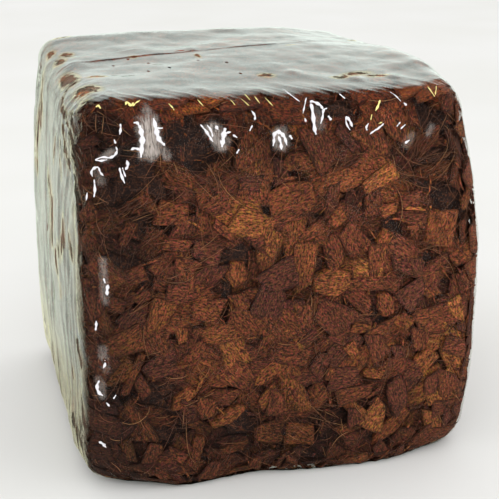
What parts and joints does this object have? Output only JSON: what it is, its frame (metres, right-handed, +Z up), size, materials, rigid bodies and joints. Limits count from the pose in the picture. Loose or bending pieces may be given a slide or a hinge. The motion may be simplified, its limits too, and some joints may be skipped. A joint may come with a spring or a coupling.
{
  "type": "coconut coir bale",
  "caption": "Pressed block of coarse coconut husk chips and coir fibre, held in clear shrink film with a lapped seam and pinholes in its top.",
  "frame": {"origin": "middle of the underside that the bale stands on", "axes": "+Z up, +X to the right along the front face seen in the picture, +Y away from the front face"},
  "size_m": [0.3208, 0.3098, 0.302],
  "materials": {
    "shrink_film": "clear glossy film",
    "husk_block": "matt fibrous",
    "husk_chips": "matt fibrous"
  },
  "bodies": {
    "root": {"husk_block": "husk_block", "husk_chip_01": "husk_chips", "husk_chip_02": "husk_chips", "husk_chip_03": "husk_chips", "husk_chip_04": "husk_chips", "husk_chip_05": "husk_chips", "husk_chip_06": "husk_chips", "husk_chip_07": "husk_chips", "husk_chip_08": "husk_chips", "husk_chip_09": "husk_chips", "husk_chip_10": "husk_chips", "husk_chip_11": "husk_chips", "husk_chip_12": "husk_chips", "husk_chip_13": "husk_chips", "husk_chip_14": "husk_chips", "husk_chip_15": "husk_chips", "husk_chip_16": "husk_chips", "husk_chip_17": "husk_chips", "husk_chip_18": "husk_chips", "husk_chip_19": "husk_chips", "husk_chip_20": "husk_chips", "husk_chip_21": "husk_chips", "husk_chip_22": "husk_chips", "husk_chip_23": "husk_chips", "husk_chip_24": "husk_chips", "husk_chip_25": "husk_chips", "husk_chip_26": "husk_chips", "husk_chip_27": "husk_chips", "husk_chip_28": "husk_chips", "husk_chip_29": "husk_chips", "husk_chip_30": "husk_chips", "husk_chip_31": "husk_chips", "husk_chip_32": "husk_chips", "husk_chip_33": "husk_chips", "husk_chip_34": "husk_chips", "husk_chip_35": "husk_chips", "husk_chip_36": "husk_chips", "husk_chip_37": "husk_chips", "husk_chip_38": "husk_chips", "husk_chip_39": "husk_chips", "husk_chip_40": "husk_chips", "husk_chip_41": "husk_chips", "husk_chip_42": "husk_chips", "husk_chip_43": "husk_chips", "husk_chip_44": "husk_chips", "husk_chip_45": "husk_chips", "shrink_film": "shrink_film"}
  },
  "joints": []
}
